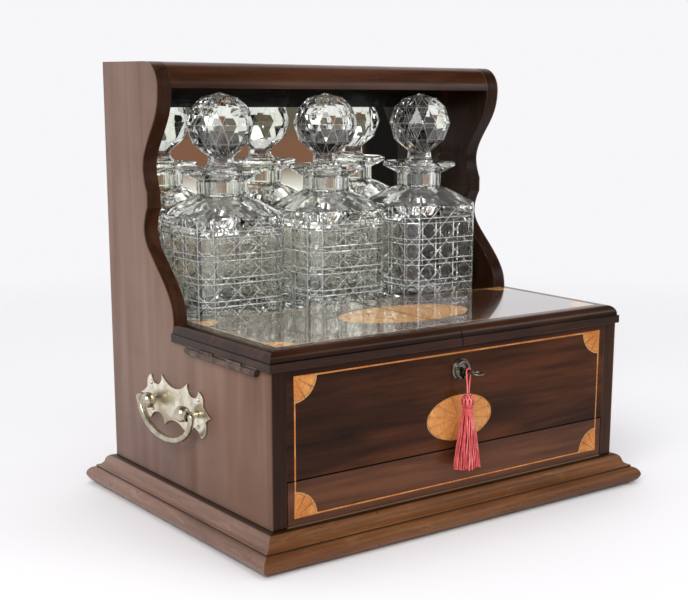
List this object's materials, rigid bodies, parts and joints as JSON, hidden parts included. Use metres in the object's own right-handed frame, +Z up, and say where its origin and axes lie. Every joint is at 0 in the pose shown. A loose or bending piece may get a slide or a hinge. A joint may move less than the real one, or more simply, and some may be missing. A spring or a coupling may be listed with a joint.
{
  "type": "tantalus",
  "caption": "Inlaid wooden tantalus: mirrored bay of square cut-glass decanters held by two locking hinged lids, side bail handles, tasselled key and a pinned drawer.",
  "frame": {"origin": "middle of the underside of the case, on the floor it stands on", "axes": "+X to the viewer's right along the case's width, +Y from the front face towards the back, +Z up"},
  "size_m": [0.379, 0.2865, 0.3465],
  "materials": {
    "mahogany_faded": "faded mahogany with a worn wax polish",
    "mahogany_dark": "dark figured mahogany, French polished",
    "mahogany_plinth": "mid brown mahogany moulding, waxed",
    "mahogany_lid": "mahogany veneer polished to a mirror shine",
    "secondary_wood": "plain unpolished inner wood",
    "satinwood": "satinwood inlay with scorched lines",
    "ebonised_rail": "ebonised wood",
    "brass_pale": "pale worn brass",
    "brass_dark": "brass gone dark brown",
    "nickel_dark": "dull nickel plate",
    "iron_lock": "filed iron and steel",
    "mirror": "old silvered glass",
    "cut_glass": "clear cut lead glass",
    "silk": "red silk threads"
  },
  "bodies": {
    "case": {"plinth_front": "mahogany_plinth", "plinth_rear": "mahogany_plinth", "plinth_left": "mahogany_plinth", "plinth_right": "mahogany_plinth", "base_board": "secondary_wood", "side_left": "mahogany_faded", "side_right": "mahogany_faded", "back_board": "secondary_wood", "canopy": "mahogany_faded", "mirror_plate": "mirror", "mirror_head_rail": "ebonised_rail", "decanter_shelf": "secondary_wood", "decanter_tray": "mahogany_faded", "bay_partition": "secondary_wood", "compartment_divider": "secondary_wood", "compartment_floor": "secondary_wood", "front_rail": "secondary_wood", "drawer_runners": "secondary_wood", "front_panel": "mahogany_dark", "front_inlay": "satinwood", "pin_bush": "brass_pale", "case_hinge_leaves": "brass_dark", "hinge_pins": "brass_dark", "lock_case": "iron_lock", "escutcheon": "nickel_dark", "handle_plate_left": "brass_pale", "handle_plate_right": "brass_pale", "handle_posts": "brass_pale", "handle_nails": "brass_pale"},
    "lid_left": {"lid_panel_left": "mahogany_lid", "lid_moulding_left": "mahogany_lid", "lid_inlay_left": "satinwood", "lid_staple_left": "brass_pale", "lid_hinge_leaf_left": "brass_dark"},
    "lid_right": {"lid_panel_right": "mahogany_lid", "lid_moulding_right": "mahogany_lid", "lid_inlay_right": "satinwood", "lid_staple_right": "brass_pale", "lid_hinge_leaf_right": "brass_dark"},
    "drawer": {"drawer_front": "mahogany_dark", "drawer_inlay": "satinwood", "drawer_side_left": "secondary_wood", "drawer_side_right": "secondary_wood", "drawer_bottom": "secondary_wood", "drawer_back": "secondary_wood", "drawer_catch": "brass_pale"},
    "drawer_pin": {"drawer_pin": "brass_pale"},
    "bolt": {"lock_bolt": "iron_lock"},
    "key": {"key": "iron_lock"},
    "tassel": {"tassel_cord": "silk", "tassel_head": "silk", "tassel_skirt": "silk"},
    "bail_left": {"bail_left": "brass_pale"},
    "bail_right": {"bail_right": "brass_pale"},
    "decanter_left": {"decanter_left": "cut_glass"},
    "stopper_left": {"stopper_left": "cut_glass"},
    "decanter_centre": {"decanter_centre": "cut_glass"},
    "stopper_centre": {"stopper_centre": "cut_glass"},
    "decanter_right": {"decanter_right": "cut_glass"},
    "stopper_right": {"stopper_right": "cut_glass"}
  },
  "joints": [
    {"name": "lid_left_hinge", "type": "hinge", "parent": "case", "child": "lid_left", "pos_m": [-0.1726, -0.058, 0.1359], "axis": [0, -1, 0], "range_deg": [0, 100]},
    {"name": "lid_right_hinge", "type": "hinge", "parent": "case", "child": "lid_right", "pos_m": [0.1726, -0.058, 0.1359], "axis": [0, 1, 0], "range_deg": [0, 100]},
    {"name": "drawer_slide", "type": "slide", "parent": "case", "child": "drawer", "axis": [0, -1, 0], "range_m": [0, 0.15], "deforming": ["tassel_skirt"]},
    {"name": "drawer_pin_slide", "type": "slide", "parent": "case", "child": "drawer_pin", "axis": [0, 0, 1], "range_m": [-0.006, 0]},
    {"name": "key_turn", "type": "hinge", "parent": "case", "child": "key", "pos_m": [0, -0.12, 0.12], "axis": [0, -1, 0], "range_deg": [0, 90]},
    {"name": "bolt_slide", "type": "slide", "parent": "case", "child": "bolt", "axis": [1, 0, 0], "range_m": [0, 0.006]},
    {"name": "tassel_hang", "type": "hinge", "parent": "key", "child": "tassel", "pos_m": [0, -0.1304, 0.12], "axis": [0, -1, 0], "range_deg": [-90, 0]},
    {"name": "bail_left_swing", "type": "hinge", "parent": "case", "child": "bail_left", "pos_m": [-0.18, 0.014, 0.0893], "axis": [0, 1, 0], "range_deg": [0, 175]},
    {"name": "bail_right_swing", "type": "hinge", "parent": "case", "child": "bail_right", "pos_m": [0.18, 0.014, 0.0893], "axis": [0, -1, 0], "range_deg": [0, 175]},
    {"name": "decanter_left_lift", "type": "slide", "parent": "case", "child": "decanter_left", "axis": [0, 0, 1], "range_m": [0, 0.0024]},
    {"name": "stopper_left_twist", "type": "hinge", "parent": "decanter_left", "child": "stopper_left", "pos_m": [-0.1015, 0.058, 0.265], "axis": [0, 0, 1], "continuous": true},
    {"name": "decanter_centre_lift", "type": "slide", "parent": "case", "child": "decanter_centre", "axis": [0, 0, 1], "range_m": [0, 0.0024]},
    {"name": "stopper_centre_twist", "type": "hinge", "parent": "decanter_centre", "child": "stopper_centre", "pos_m": [0, 0.058, 0.265], "axis": [0, 0, 1], "continuous": true},
    {"name": "decanter_right_lift", "type": "slide", "parent": "case", "child": "decanter_right", "axis": [0, 0, 1], "range_m": [0, 0.0024]},
    {"name": "stopper_right_twist", "type": "hinge", "parent": "decanter_right", "child": "stopper_right", "pos_m": [0.1015, 0.058, 0.265], "axis": [0, 0, 1], "continuous": true}
  ],
  "couplings": [
    {"joint": "key_turn", "follows": "bolt_slide", "rad_per_m": 261.8},
    {"joint": "tassel_hang", "follows": "bolt_slide", "rad_per_m": -261.8}
  ]
}
